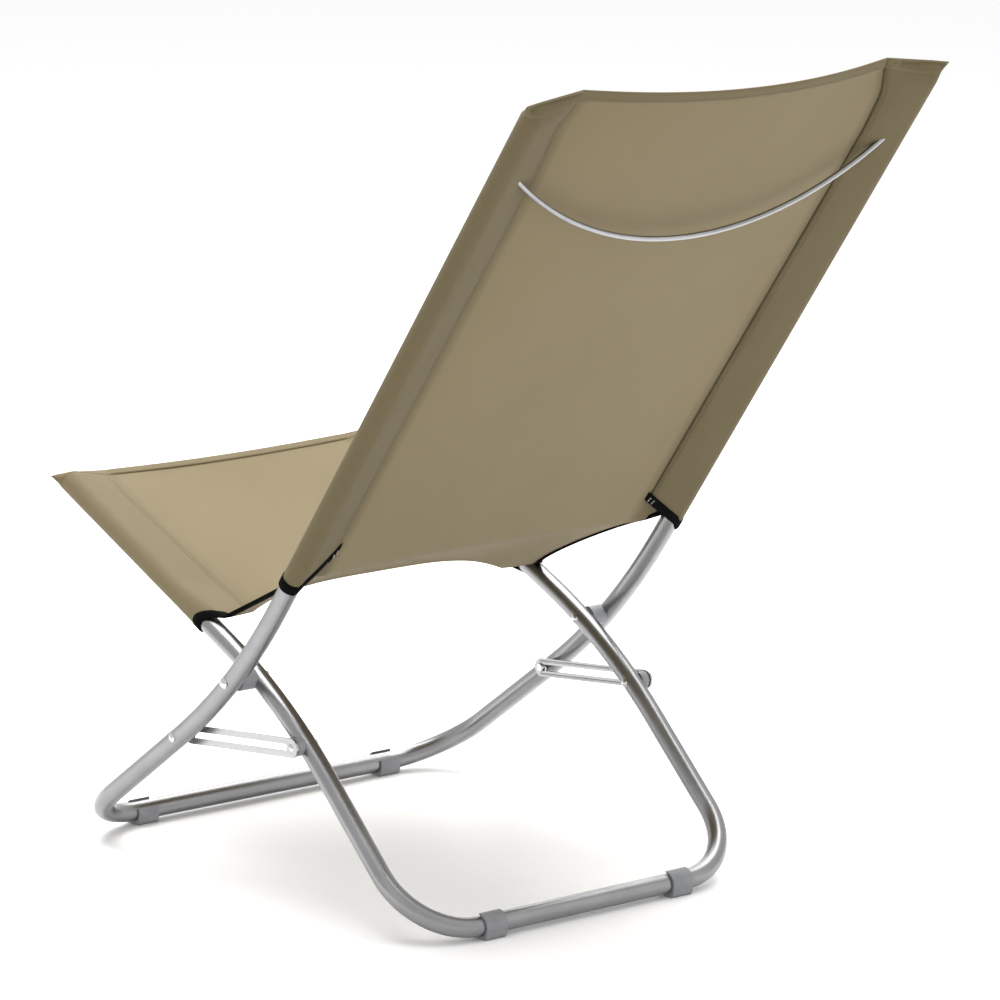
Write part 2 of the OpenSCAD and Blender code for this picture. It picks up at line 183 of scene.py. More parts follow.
def cloth_material(name, single, yarn, rough, shaded_doubled=None, sheen=0.0, specular=0.2):
    """Plain-weave cloth on UVs in metres. Where the point attribute is 1 it takes the second, darker
    colour: painted shade, because two layers of cloth let less light through than one.
    """
    m, s = new_material(name)
    g = Graph(m)
    uv = g.add("UVMap", uv_map="cloth").outputs[0]
    height = weave_height(g, uv, yarn)
    slub = g.math("ADD", g.noise(g.stretched(uv, (1500, 18, 1)), 1.0, 1.0),
                  g.noise(g.stretched(uv, (18, 1500, 1)), 1.0, 1.0))
    cloud = g.noise(g.stretched(uv, (9, 7, 1)), 1.0, 4.0, 0.6)
    # share of painted shade, where two layers let less light through than one
    layer_shade = g.add("Attribute", attribute_name="layer_shade").outputs["Fac"]
    base = g.mix(layer_shade, rgb(*single), rgb(*(shaded_doubled or single)))
    # Yarn crowns take the lighter tone and the dips between yarns the darker one, painted shade in the
    # weave's hollows; slubs and clouds vary the tone at random.
    dark = g.add("HueSaturation", {"Value": 0.86, "Color": base}).outputs[0]
    light = g.add("HueSaturation", {"Value": 1.07, "Saturation": 0.97, "Color": base}).outputs[0]
    tone = g.weigh(height, 0.55, slub, 0.3)
    tone = g.math("ADD", tone, g.math("MULTIPLY", g.math("SUBTRACT", cloud, 0.5), 0.35))
    g.link(g.mix(g.ramp(tone, 0.1, 0.85, 0.0, 1.0), dark, light), s.inputs["Base Color"])
    g.link(g.ramp(g.math("ADD", height, cloud), 0.4, 1.6, rough + 0.08, rough - 0.06),
           s.inputs["Roughness"])
    wide = g.bump(g.noise(g.stretched(uv, (30, 22, 1)), 1.0, 3.0), 0.0006, 0.35)
    yarns = g.math("ADD", height, g.math("MULTIPLY", slub, 0.5))
    g.link(g.bump(yarns, 0.00016, 0.8, wide), s.inputs["Normal"])
    s.inputs["Sheen Weight"].default_value = sheen
    s.inputs["Sheen Roughness"].default_value = 0.5
    s.inputs["Specular IOR Level"].default_value = specular
    return m


def metal_material(name, base, rough, spread, grain, relief):
    """Metal with drawn grain, handling marks and small pits. Grain is its noise's scale on each axis."""
    m, s = new_material(name)
    g = Graph(m)
    at = g.add("TexCoord").outputs["Object"]
    drawn = g.noise(g.stretched(at, grain), 1.0, 3.0, 0.6)
    marks = g.noise(at, 26.0, 5.0, 0.62)
    pits = g.noise(at, 2600.0, 2.0)
    smear = g.noise(g.stretched(at, (60, 14, 14)), 3.0, 4.0, 0.7)
    tint = g.ramp(g.weigh(marks, 0.6, drawn, 0.4), 0.3, 0.7, 0.0, 1.0)
    g.link(g.mix(tint, shade(base, 0.86), shade(base, 1.07)), s.inputs["Base Color"])
    uneven = g.weigh(smear, 0.6, drawn, 0.4)
    g.link(g.ramp(uneven, 0.25, 0.75, rough - spread, rough + spread), s.inputs["Roughness"])
    peel = g.bump(g.noise(at, 420.0, 2.0), 0.00012, 0.35)
    g.link(g.bump(g.math("ADD", pits, drawn), relief, 0.5, peel), s.inputs["Normal"])
    s.inputs["Metallic"].default_value = 1.0
    return m


def plastic_material(name, base, rough):
    """Moulded plastic with a fine spark-eroded grain and paler rubbed places."""
    m, s = new_material(name)
    g = Graph(m)
    at = g.add("TexCoord").outputs["Object"]
    grain = g.noise(at, 1900.0, 3.0, 0.7)
    cloud = g.noise(at, 60.0, 4.0, 0.6)
    rub = g.noise(g.stretched(at, (40, 160, 160)), 2.0, 3.0, 0.75)
    tone = g.ramp(g.weigh(cloud, 0.7, rub, 0.3), 0.3, 0.7, 0.0, 1.0)
    g.link(g.mix(tone, shade(base, 0.84), shade(base, 1.16)), s.inputs["Base Color"])
    g.link(g.ramp(rub, 0.3, 0.7, rough - 0.08, rough + 0.08), s.inputs["Roughness"])
    g.link(g.bump(grain, 0.00008, 0.6, g.bump(cloud, 0.0002, 0.2)), s.inputs["Normal"])
    s.inputs["Specular IOR Level"].default_value = 0.45
    return m


def plain_material(name, colour, rough):
    m, s = new_material(name)
    g = Graph(m)
    at = g.add("TexCoord").outputs["Object"]
    g.link(g.ramp(g.noise(at, 3.0, 3.0), 0.3, 0.7, rough - 0.03, rough + 0.03), s.inputs["Roughness"])
    s.inputs["Base Color"].default_value = rgb(*colour)
    return m


# The cloth's darker second colour is painted shade on its two-layer sleeves and hems.
CLOTH = cloth_material("cloth", (0.193, 0.1535, 0.082), yarn=0.0009, rough=0.74,
                       shaded_doubled=(0.125, 0.098, 0.047), sheen=0.05)
TAPE = cloth_material("black_tape", (0.003, 0.003, 0.0034), yarn=0.0007, rough=0.9, specular=0.04)
THREAD = cloth_material("thread", (0.185, 0.15, 0.082), yarn=0.0004, rough=0.6, sheen=0.1)
PALE_THREAD = cloth_material("pale_thread", (0.42, 0.41, 0.38), yarn=0.0004, rough=0.5, sheen=0.1)
SATIN = metal_material("satin_tube", (0.285, 0.285, 0.29), 0.31, 0.05, (30, 900, 900), 0.00002)
BRIGHT = metal_material("bright_rod", (0.36, 0.36, 0.37), 0.15, 0.05, (40, 600, 600), 0.00001)
PLATED = metal_material("plated_steel", (0.40, 0.40, 0.41), 0.27, 0.05, (400, 50, 400), 0.000004)
POLISHED = metal_material("polished_rivet", (0.6, 0.6, 0.61), 0.12, 0.04, (300, 300, 300), 0.000004)
GREY = plastic_material("grey_plastic", (0.21, 0.215, 0.225), 0.5)

# The first of these words in a node's name gives its material. The sling's nodes have none of them.
FINISHES = {"caps": GREY, "spacer": GREY, "saddle": GREY, "foot": GREY, "spreader": BRIGHT,
            "rivet": POLISHED, "button": POLISHED, "link": PLATED, "tube": SATIN}

for node_name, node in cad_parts.items():
    material = next((FINISHES[word] for word in FINISHES if word in node_name), None)
    if material is not None:
        for material_slot in node.material_slots:
            material_slot.material = material


# ---------------------------------------------------------------- the sling's surface
# A row runs across the chair, from its middle to the flap's edge: over the panel, past the seam to
# the tangent with the tube, round the tube, and back along the flap to the seam.
PANEL_COLS = 14
SEAM_COLS = 4
TANGENT_COLS = 2
WRAP_COLS = 14
FLAP_COLS = 6
EDGE_COL = PANEL_COLS + SEAM_COLS      # the last column in the open stretch between the sleeves
LAST_COL = EDGE_COL + TANGENT_COLS + WRAP_COLS + FLAP_COLS
COLUMN = np.arange(LAST_COL + 1)
SEAT_ROWS = 34
OPEN_ROWS = 26
BACK_ROWS = 74

CLOTH_T = 0.0006
WRAP_R = 0.0103                        # middle of the cloth round a tube
LAYER_GAP = 0.0013                     # between the panel and the flap where they are sewn together
PUCKER = 0.0008                        # how far a flap stands off its straight line,
SEAT_PUCKER_WAVE = 0.0006              # and how much that varies along a sleeve
BACK_PUCKER_WAVE = 0.0007

SEAT_L = 0.253                         # tube that a sleeve covers
BACK_L = 0.5885
SEAT_OVER = 0.0125                     # cloth past the tubes' open ends
BACK_OVER = 0.0173
SEAT_SEAM_X = 0.151                    # from the chair's middle to a seam
BACK_SEAM_X = 0.1875
SEAT_EDGE_X = 0.189                    # where the column EDGE_COL meets a sleeve's end
BACK_EDGE_X = 0.210

FLAP_CUT = 0.031                       # the flaps' ends are cut on a slant, shorter at the seam
MOUTH_REACH = 0.016                    # how far the stretched edge draws a seat sleeve's end back
MOUTH_LIFT = 0.006                     # and up
MOUTH_COLS = 7.5                       # columns on each side of EDGE_COL over which that fades
CROWN_MIDDLE = 0.0047                  # how far the top hem rises in its middle, and at the seams
CROWN_SEAM = 0.0022
CROWN_COLS = 12                        # columns of a sleeve over which it fades, from both seams
EARS = 0.004                           # how far the front hem draws back in its outer stretch
EAR_COLS = 8                           # columns from the seam over which that grows

MOUTH = 0.5 + 0.5 * np.cos(math.pi * np.clip(np.abs(COLUMN - EDGE_COL) / MOUTH_COLS, 0, 1))
FLAP_SHARE = np.clip((COLUMN - (LAST_COL - FLAP_COLS - 2)) / (FLAP_COLS + 2), 0, 1)
EAR = EARS * np.clip((COLUMN - PANEL_COLS) / EAR_COLS, 0, 1)
from_seam = np.minimum(COLUMN - PANEL_COLS, LAST_COL - COLUMN)
CROWN = np.where(COLUMN > PANEL_COLS,
                 CROWN_SEAM * np.clip(1 - from_seam / CROWN_COLS, 0, 1),
                 CROWN_MIDDLE - (CROWN_MIDDLE - CROWN_SEAM) * (COLUMN / PANEL_COLS) ** 2)


def half_section(tube_x, seam_x, centre, seam, edge_x, pucker, hollow=2.0):
    """One row in the plane across the tubes, as (x, offset from the tubes' plane), from the middle out.

    centre and seam are the panel's offsets, and hollow is the power of the curve between them.
    """
    points = [(seam_x * t, centre + (seam - centre) * t ** hollow)
              for t in np.arange(PANEL_COLS + 1) / PANEL_COLS]
    lean = math.atan2(seam, tube_x - seam_x)
    reach = math.acos(WRAP_R / math.hypot(tube_x - seam_x, seam))
    top = math.pi - lean - reach
    low = -math.pi - lean + reach
    tangent_x, tangent = tube_x + WRAP_R * math.cos(top), WRAP_R * math.sin(top)
    for start, end, count in ((seam_x, edge_x, SEAM_COLS), (edge_x, tangent_x, TANGENT_COLS)):
        for i in range(1, count + 1):
            x = start + (end - start) * i / count
            points.append((x, seam + (tangent - seam) * (x - seam_x) / (tangent_x - seam_x)))
    for i in range(1, WRAP_COLS + 1):
        a = top + (low - top) * i / WRAP_COLS
        points.append((tube_x + WRAP_R * math.cos(a), WRAP_R * math.sin(a)))
    flap_x, flap = points[-1]
    for i in range(1, FLAP_COLS + 1):
        t = i / FLAP_COLS
        swell = pucker * math.sin(math.pi * t)
        points.append((flap_x + (seam_x - flap_x) * t, flap + (seam - LAYER_GAP - flap) * t - swell))
    return np.array(points)


def flatten(points, weight, fold):
    """Presses a sleeve's loop flat past the tube's end, where fold is the loop's outer (x, offset)."""
    loop = points[PANEL_COLS:]
    run_in = lengths_along(loop)
    share = run_in / run_in[-1] * 2
    share = np.where(share > 1, 2 - share, share)[:, None]
    flat = loop[0] + (np.array(fold) - loop[0]) * share
    under = run_in > run_in[-1] / 2
    closing = np.minimum(1.0, (1 - share[:, 0]) * 12 + 0.4)        # the two layers close at the fold
    flat[:, 1] -= np.where(under, LAYER_GAP * closing, 0.0)
    out = points.copy()
    out[PANEL_COLS:] = loop * (1 - weight) + flat * weight
    return out


def slant(d, length):
    """How far along the tube each column of a row really is: a flap ends earlier at its seam."""
    return d * (1 - FLAP_CUT / length * FLAP_SHARE * ease(d / length))


def in_place(points, end, heading, along):
    """A row's points in space, from the tubes' open end and how far past it each point is."""
    out = np.zeros((len(points), 3))
    out[:, 0] = points[:, 0]
    out[:, 1:] = end + np.outer(points[:, 1], sitter_side(heading)) + np.outer(along, direction(heading))
    return out


PAST_END = 0.013                       # where the rows' slow curves start, past the open ends

SEAT_DIP = 0.0065                      # how far the seat's middle is below the tubes' plane in front
SEAT_RISE = 0.0335                     # how much it rises towards the stretch, and on what power
SEAT_RISE_POWER = 2.6
SEAT_SEAM = 0.0005                     # how far the seams are above the tubes' plane in front
SEAT_SEAM_RISE = 0.0065                # how much they rise towards the stretch
FRONT_REACH = 0.05                     # how far behind the front hem its pull shows
FRONT_SEAM_DROP = 0.0035               # how far it pulls the seams down, and in
FRONT_SEAM_IN = 0.005
DRAWN_FROM = 0.78                      # share of the sleeve where the stretched edge starts to draw it
DRAWN_OUT = 0.004                      # how far it draws the sleeve's edge out, and how much it
DRAWN_HOLLOW = 1.6                     # adds to the power of the panel's curve
SEAT_PRESSED = 0.75                    # how nearly flat the front ends are, and how soon they open
SEAT_PRESSED_L = 0.0085
SEAT_FOLD = (0.2152, 0.0032)           # outer edge of a flattened end, as (x, offset)

BACK_DIP = 0.0125                      # how far the back's middle is behind the tubes' plane at the top
BACK_RISE = 0.0225                     # how much it comes forward towards the seat, and on what power
BACK_RISE_POWER = 1.7
BACK_SEAM = 0.0030                     # how far the seams are in front of the tubes' plane
BACK_SEAM_RISE = 0.0030
TOP_SEAM_RISE = 0.0058                 # how far the top hem pulls the seams forward, and in
TOP_SEAM_IN = 0.0129
TOP_FROM = 0.019                       # where its pull starts, past the open ends
TOP_REACH = 0.09                       # how far below it shows in the seams' offset, place and rise
TOP_REACH_IN = 0.045
TOP_REACH_RISE = 0.06
BACK_PRESSED_L = 0.0145
BACK_FOLD = (0.2426, -0.0016)


def seat_row(d):
    """One row of the seat, d behind the tubes' open ends."""
    along = max(0.0, (d + PAST_END) / (SEAT_L + PAST_END))
    by_front = 1 - ease((d + PAST_END) / FRONT_REACH)
    drawn = float(ease((along - DRAWN_FROM) / (1 - DRAWN_FROM)))
    centre = SEAT_RISE * along ** SEAT_RISE_POWER - SEAT_DIP
    seam = SEAT_SEAM + SEAT_SEAM_RISE * ease(along) - FRONT_SEAM_DROP * by_front
    points = half_section(SEAT_X, SEAT_SEAM_X - FRONT_SEAM_IN * by_front, centre, seam,
                          SEAT_EDGE_X + DRAWN_OUT * drawn, PUCKER + SEAT_PUCKER_WAVE * math.sin(d * 70),
                          2.0 + DRAWN_HOLLOW * drawn)
    pressed = SEAT_PRESSED * (1 - float(ease((d + SEAT_OVER) / SEAT_PRESSED_L)))
    points = flatten(points, pressed, SEAT_FOLD)
    points[:, 1] += MOUTH_LIFT * drawn * MOUTH
    shift = EAR * ease(1 - (d + SEAT_OVER) / FRONT_REACH) + MOUTH_REACH * drawn * MOUTH
    return in_place(points, SEAT_FRONT, SEAT_HEAD, slant(d, SEAT_L) + shift)


def back_row(d):
    """One row of the back, d below the tubes' open ends."""
    along = max(0.0, (d + PAST_END) / (BACK_L + PAST_END))
    by_top = 1 - ease((d + TOP_FROM) / TOP_REACH)
    centre = BACK_RISE * along ** BACK_RISE_POWER - BACK_DIP
    seam = BACK_SEAM + BACK_SEAM_RISE * ease(along) + TOP_SEAM_RISE * by_top
    seam_x = BACK_SEAM_X - TOP_SEAM_IN * (1 - ease((d + TOP_FROM) / TOP_REACH_IN))
    points = half_section(BACK_X, seam_x, centre, seam, BACK_EDGE_X,
                          PUCKER + BACK_PUCKER_WAVE * math.sin(d * 41 + 1))
    pressed = 1 - float(ease((d + BACK_OVER) / BACK_PRESSED_L))
    points = flatten(points, pressed, BACK_FOLD)
    rise = CROWN * ease(1 - (d + BACK_OVER) / TOP_REACH_RISE)
    return in_place(points, BACK_TOP, BACK_HEAD, rise - slant(d, BACK_L))


seat_rows = [seat_row(-SEAT_OVER + (SEAT_L + SEAT_OVER) * i / SEAT_ROWS) for i in range(SEAT_ROWS + 1)]
back_rows = [back_row(BACK_L - (BACK_L + BACK_OVER) * i / BACK_ROWS) for i in range(BACK_ROWS + 1)]
last_seat = seat_rows[-1]
first_back = back_rows[0]

# The open stretch from the seat to the back: a curve at each column, on the course of both sleeves
COURSE_STEP = 0.004                    # a sleeve's course is taken over its last stretch, this long
COURSE_PULL = 0.1                      # how strongly the curves keep to it, in their middle
CUT_IN = 0.016                         # how far the cut-out sides curve in
BULGE = 0.0015                         # how far the stretch stands forward at its sides

open_columns = slice(0, EDGE_COL + 1)
open_start = last_seat[open_columns]
open_end = first_back[open_columns]
leave = unit(open_start - seat_row(SEAT_L - COURSE_STEP)[open_columns])
arrive = unit(back_row(BACK_L - COURSE_STEP)[open_columns] - open_end)
outward = COLUMN[open_columns] / EDGE_COL
middle = 1 - outward ** 2
pull = (COURSE_PULL * np.linalg.norm(open_end - open_start, axis=1) * middle)[:, None]


def open_row(t):
    """The row of the open stretch that is t of the way from the seat to the back."""
    row = ((2 * t ** 3 - 3 * t ** 2 + 1) * open_start + (t ** 3 - 2 * t ** 2 + t) * pull * leave
           + (3 * t ** 2 - 2 * t ** 3) * open_end + (t ** 3 - t ** 2) * pull * arrive)
    swing = math.sin(math.pi * t)
    row[:, 0] -= CUT_IN * outward ** 3 * swing
    row[:, 1:] += np.outer(BULGE * (1 + 2 * middle) * swing, (-1, 2))      # forward, and twice as far up
    return row


open_rows = [open_row(i / OPEN_ROWS) for i in range(1, OPEN_ROWS)]
rows = seat_rows + open_rows + back_rows


def ripple(x, run):
    """Slight unevenness of stretched cloth: two waves that cross each other."""
    height = 0.00035
    return height * (math.sin(x * 31 + run * 9) + math.sin(x * 17 - run * 23 + 1.3))


# ---------------------------------------------------------------- meshes
def mesh_object(name, verts, faces, material, uvs=None, layer_shade=None):
    """A smooth mesh with UVs in metres, and with the share of painted two-layer shade at each point."""
    me = bpy.data.meshes.new(name)
    me.from_pydata([tuple(map(float, v)) for v in verts], [], faces)
    me.update()
    if uvs is None:
        uvs = [(float(v[0]), float(v[1] + v[2])) for v in verts]
    if layer_shade is None:
        layer_shade = [0.0] * len(verts)
    layer = me.uv_layers.new(name="cloth")
    for loop in me.loops:
        layer.data[loop.index].uv = uvs[loop.vertex_index]
    me.attributes.new("layer_shade", "FLOAT", "POINT").data.foreach_set("value", np.array(layer_shade, np.float32))
    me.polygons.foreach_set("use_smooth", [True] * len(me.polygons))
    me.materials.append(material)
    ob = bpy.data.objects.new(name, me)
    bpy.context.scene.collection.objects.link(ob)
    return ob


def thicken(ob, thickness):
    """Gives a sheet its two faces and its rim, for good."""
    mod = ob.modifiers.new("thickness", "SOLIDIFY")
    mod.thickness = thickness
    mod.offset = 0.0
    mod.use_even_offset = False
    graph = bpy.context.evaluated_depsgraph_get()
    done = bpy.data.meshes.new_from_object(
        ob.evaluated_get(graph), preserve_all_data_layers=True, depsgraph=graph)
    ob.modifiers.clear()
    single = ob.data
    ob.data = done
    bpy.data.meshes.remove(single)


def strip(name, lines, material, layer_shade=1.0):
    """A sheet through a list of equally long lines of points."""
    grid = np.array(lines)
    n_lines, n_points = grid.shape[:2]
    verts = grid.reshape(-1, 3)
    across = np.linalg.norm(np.diff(grid, axis=0), axis=2).mean(axis=1)
    along = np.linalg.norm(np.diff(grid, axis=1), axis=2).mean(axis=0)
    v = np.concatenate([[0], np.cumsum(across)])
    u = np.concatenate([[0], np.cumsum(along)])
    uvs = [(float(u[j]), float(v[i])) for i in range(n_lines) for j in range(n_points)]
    faces = [[i * n_points + j, i * n_points + j + 1, (i + 1) * n_points + j + 1, (i + 1) * n_points + j]
             for i in range(n_lines - 1) for j in range(n_points - 1)]
    return mesh_object(name, verts, faces, material, uvs, [layer_shade] * len(verts))


# ---------------------------------------------------------------- the sling
SEAT_LAYER_SHADE = 0.35                    # painted shade of two layers, which let less light through than one: slight on the front-lit seat, and full on the back, which is seen against the light
BACK_LAYER_SHADE = 1.0
TOP_HEM_LAYER_SHADE = 0.8


def sling_grid():
    """The rows and their mirror images as one mesh: points, faces, UVs, shares of painted two-layer shade
    and length.
    """
    verts, uvs, layer_shade, index = [], [], [], {}
    run = 0.0
    for r, row in enumerate(rows):
        if r:
            run += float(np.linalg.norm(row[0] - rows[r - 1][0]))
        across = lengths_along(row)
        in_seat = r < len(seat_rows)
        in_open = not in_seat and r < len(seat_rows) + len(open_rows)
        for side in (1, -1):
            for c in range(0 if side == 1 else 1, len(row)):
                point = row[c].copy()
                if c < PANEL_COLS:
                    inner = 2 * min(c, PANEL_COLS - c) / PANEL_COLS
                    point[1] -= ripple(side * point[0], run) * inner
                point[0] *= side
                index[r, side, c] = len(verts)
                verts.append(point)
                uvs.append((side * float(across[c]) + 0.5, run))
                # sleeves get the painted shade of two layers, and the single panel and the open stretch get
                # none
                shaded_doubled = SEAT_LAYER_SHADE if in_seat else BACK_LAYER_SHADE
                layer_shade.append(0.0 if in_open or c < PANEL_COLS else shaded_doubled)
        index[r, -1, 0] = index[r, 1, 0]
    faces = []
    for r in range(len(rows) - 1):
        columns = min(len(rows[r]), len(rows[r + 1])) - 1
        for side in (1, -1):
            for c in range(columns):
                quad = [index[r, side, c], index[r, side, c + 1],
                        index[r + 1, side, c + 1], index[r + 1, side, c]]
                faces.append(quad[::side])
    return verts, faces, uvs, layer_shade, run


verts, faces, uvs, layer_shade, flat_l = sling_grid()

sling = mesh_object("sling", verts, faces, CLOTH, uvs, layer_shade)
thicken(sling, CLOTH_T)

# The sleeves stay rigid on their tubes, so the cloth turns from one to the other just past their ends.
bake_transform(sling)
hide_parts("back_panel", "seat_panel", "sling_bend", "back_sleeve_left", "back_sleeve_right",
            "seat_sleeve_left", "seat_sleeve_right")


# ---------------------------------------------------------------- hems
HEM_DEPTH = 0.0095
HEM_LIFT = 0.0009                      # from the middle of the sling's cloth to the middle of the hem's
HEM_END_LIFT = 0.35                    # shares of it round the edge and inside, past the seams, where
HEM_INSIDE_LIFT = 0.1                  # the turned cloth lies close to the sleeves' two layers


def grid_normals(grid):
    """Unit normals of a grid of points, by differences."""
    n = np.cross(np.gradient(grid, axis=1), np.gradient(grid, axis=0))
    return n / np.maximum(np.linalg.norm(n, axis=2, keepdims=True), 1e-12)


def whole_row(row):
    """A row from the flap's edge on one side to the flap's edge on the other."""
    mirrored = row[1:][::-1] * (-1, 1, 1)
    return np.concatenate([mirrored, row])


def hem(name, row_at, d_edge, body, outside, layer_shade):
    """A hem turned over an end of the sling: outside, round the edge, and back on the inside."""
    grid = np.array([whole_row(row_at(d_edge + HEM_DEPTH * x)) for x in (0.0, 0.33, 0.67, 1.0)])
    normals = grid_normals(grid) * outside
    seam_x = np.abs(grid[:, LAST_COL - PANEL_COLS, 0])[:, None]
    on_panel = (np.abs(grid[:, :, 0]) <= seam_x - 0.002)[:, :, None]
    end_dir = unit(grid[0] - grid[1])
    lines = [grid[i] + normals[i] * HEM_LIFT for i in (3, 2, 1, 0)]
    for angle in (30, 90, 150):
        lift = HEM_LIFT * np.where(on_panel[0] | (angle <= 90), 1.0, HEM_END_LIFT)
        lines.append(grid[0] + normals[0] * lift * math.cos(math.radians(angle))
                     + end_dir * HEM_LIFT * math.sin(math.radians(angle)))
    for i in range(4):
        lines.append(grid[i] - normals[i] * HEM_LIFT * np.where(on_panel[i], 1.0, HEM_INSIDE_LIFT))
    ob = strip(name, lines, CLOTH, layer_shade)
    thicken(ob, CLOTH_T)
    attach(ob, body)
    return ob


# The hems carry the painted shade of their two layers.
top_hem = hem("hem_top", back_row, -BACK_OVER, "back_frame", 1, TOP_HEM_LAYER_SHADE)
front_hem = hem("hem_front", seat_row, -SEAT_OVER, "seat_frame", -1, SEAT_LAYER_SHADE)


# ---------------------------------------------------------------- black tape
TAPE_T = 0.0005
RING_TAPE_W = 0.0105                   # the tape's width and lift round the sleeves' ends
RING_TAPE_LIFT = 0.0008
EDGE_TAPE_W = 0.0042                   # and along the cut-out sides
EDGE_TAPE_LIFT = 0.0017
TAPE_CHANGE = 3                        # points over which one changes to the other


def tape_along(name, path, normals, inward, width, lift):
    """A tape folded round a cut edge: path is the edge, and inward points into the cloth."""
    lines = [path + inward * width + normals * lift,
             path + inward * width * 0.5 + normals * lift * 1.1,
             path + normals * lift]
    for angle in (45, 90, 135):
        lines.append(path - inward * lift * math.sin(math.radians(angle))
                     + normals * lift * math.cos(math.radians(angle)))
    lines += [path - normals * lift,
              path + inward * width * 0.5 - normals * lift * 1.1,
              path + inward * width - normals * lift]
    return strip(name, lines, TAPE)


def on_heading(heading):
    """Unit (x, y, z) along a heading."""
    return np.array([0, *direction(heading)])


def ring(row, heading, columns):
    """Points of a sleeve's end at these columns, with their normals."""
    normals = unit(np.cross(np.gradient(row, axis=0), on_heading(heading)))
    return row[columns], normals[columns]


def cut_edge():
    """Points, normals and inward directions along a cut-out side, from the seat to the back."""
    grid = np.array([open_start] + open_rows + [open_end])
    edge = grid[:, EDGE_COL]
    inward = unit(grid[:, EDGE_COL - 1] - edge)
    inward[0] -= on_heading(SEAT_HEAD)
    inward[-1] += on_heading(BACK_HEAD)
    return edge, grid_normals(grid)[:, EDGE_COL], unit(inward)


def binding(side, name):
    """Tape from the seat's flap round the seat's sleeve, along the cut edge and round the back's sleeve."""
    ring_columns = np.arange(EDGE_COL + 2, LAST_COL + 1)
    seat_ring, seat_normals = ring(last_seat, SEAT_HEAD, ring_columns[::-1])
    edge, edge_normals, edge_inward = cut_edge()
    back_ring, back_normals = ring(first_back, BACK_HEAD, ring_columns)
    path = np.concatenate([seat_ring, edge, back_ring])
    normals = np.concatenate([seat_normals, edge_normals, back_normals])
    inward = np.concatenate([np.tile(-on_heading(SEAT_HEAD), (len(seat_ring), 1)), edge_inward,
                             np.tile(on_heading(BACK_HEAD), (len(back_ring), 1))])
    for k in range(1, len(normals)):
        if normals[k] @ normals[k - 1] < 0:
            normals[k] = -normals[k]
    place = np.arange(len(path))[:, None]
    edge_from = len(seat_ring)
    on_edge = (ease((place - edge_from) / TAPE_CHANGE)
               * ease((edge_from + len(edge) - place) / TAPE_CHANGE))
    width = RING_TAPE_W + (EDGE_TAPE_W - RING_TAPE_W) * on_edge
    lift = RING_TAPE_LIFT + (EDGE_TAPE_LIFT - RING_TAPE_LIFT) * on_edge
    flip = np.array([side, 1, 1])
    ob = tape_along(name, path * flip, normals * flip, inward * flip, width, lift)
    thicken(ob, TAPE_T)
    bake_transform(ob)
    return ob


binding_left = binding(1, "binding_left")
binding_right = binding(-1, "binding_right")
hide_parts("back_bindings", "seat_bindings")


# ---------------------------------------------------------------- stitches
THREAD_R = 0.00028
STITCH_L = 0.0027
STITCH_GAP = 0.0009
SEAM_ROWS = (0.0022, 0.0062)           # the two rows of stitches, from a seam's edge
SEAM_START = 0.008                     # where they start, from the open ends, and their points' step
SEAM_STEP = 0.006
BACK_SEAM_POINTS = 96
SEAT_SEAM_POINTS = 42
HEM_ROW = 0.0078                       # the hems' row of stitches, from the edge
RING_POINTS = 6


def stitch(a, middle, b, n, length, radius):
    """Rings of points of one stitch, a capsule of thread from a to b that sinks in at both ends."""
    t = unit(b - a)
    side = np.cross(n, t)
    shoulder = t * length * 0.18
    points = []
    for centre, r, lift in ((a, 0.35, -0.2), (a + shoulder, 1.0, 0.35), (middle, 1.05, 0.5),
                            (b - shoulder, 1.0, 0.35), (b, 0.35, -0.2)):
        for k in range(RING_POINTS):
            w = 2 * math.pi * k / RING_POINTS
            points.append(centre + n * radius * (lift + r * math.cos(w)) + side * radius * r * math.sin(w))
    return points


def stitch_faces(base):
    """Faces of a stitch whose points start at base."""
    faces = []
    for start in range(base, base + 4 * RING_POINTS, RING_POINTS):
        for k in range(RING_POINTS):
            q = (k + 1) % RING_POINTS
            faces.append([start + k, start + q, start + RING_POINTS + q, start + RING_POINTS + k])
    faces.append([base + k for k in reversed(range(RING_POINTS))])
    faces.append([base + 4 * RING_POINTS + k for k in range(RING_POINTS)])
    return faces


def at_run(values, run, x):
    """The point or normal at the length x of a line."""
    return np.array([np.interp(x, run, values[:, k]) for k in range(3)])


def stitches(name, paths, body, material, length=STITCH_L, gap=STITCH_GAP, radius=THREAD_R):
    """Stitches end to end along each path, a pair of points and normals, as one piece."""
    verts, faces = [], []
    for path, normals in paths:
        run = lengths_along(path)
        start = gap / 2
        while start + length < run[-1]:
            a, middle, b = (at_run(path, run, start + length * share) for share in (0, 0.5, 1))
            n = unit(at_run(normals, run, start + length / 2))
            faces += stitch_faces(len(verts))
            verts += stitch(a, middle, b, n, length, radius)
            start += length + gap
    ob = mesh_object(name, verts, faces, material)
    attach(ob, body)
    return ob


def seam_paths(row_at, heading, count, inset):
    """Lines of stitches on both sides of both seams: on the flaps, and on the sitter's side."""
    grid = np.array([row_at(SEAM_START + SEAM_STEP * i) for i in range(count)])
    sitter = np.array([0, *sitter_side(heading)])
    paths = []
    for side in (1, -1):
        flip = np.array([side, 1, 1])
        for edge_col, next_col, towards in ((LAST_COL, LAST_COL - 1, -sitter),
                                            (PANEL_COLS, PANEL_COLS + 1, sitter)):
            away = unit(grid[:, next_col] - grid[:, edge_col])
            line = grid[:, edge_col] + away * inset
            n = unit(np.cross(np.gradient(line, axis=0), away))
            n[(n @ towards) < 0] *= -1
            paths.append(((line + n * CLOTH_T / 2) * flip, n * flip))
    return paths


